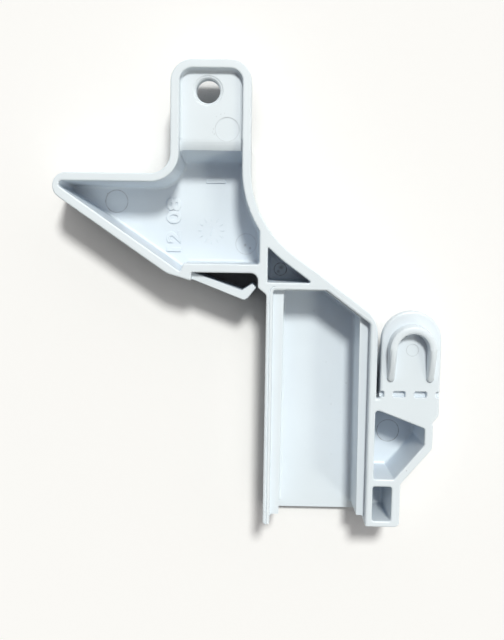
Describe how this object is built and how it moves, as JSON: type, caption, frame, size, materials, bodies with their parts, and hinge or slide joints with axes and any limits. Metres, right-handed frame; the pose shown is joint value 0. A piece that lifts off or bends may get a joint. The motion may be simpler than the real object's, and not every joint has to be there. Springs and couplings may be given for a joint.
{
  "type": "freezer door support",
  "caption": "Moulded plastic tray bracket with a screw tab, pointed arm, open channel, spring finger and snap-off tab.",
  "frame": {"origin": "middle of the box round the part, on the closed side that it lies on", "axes": "+Y along the channel towards the screw tab, +X towards the snap-off tab, +Z out of the open pockets"},
  "size_m": [0.0825, 0.0982, 0.017],
  "materials": {
    "body": "satin moulded"
  },
  "bodies": {
    "root": {"door_support": "body"}
  },
  "joints": []
}
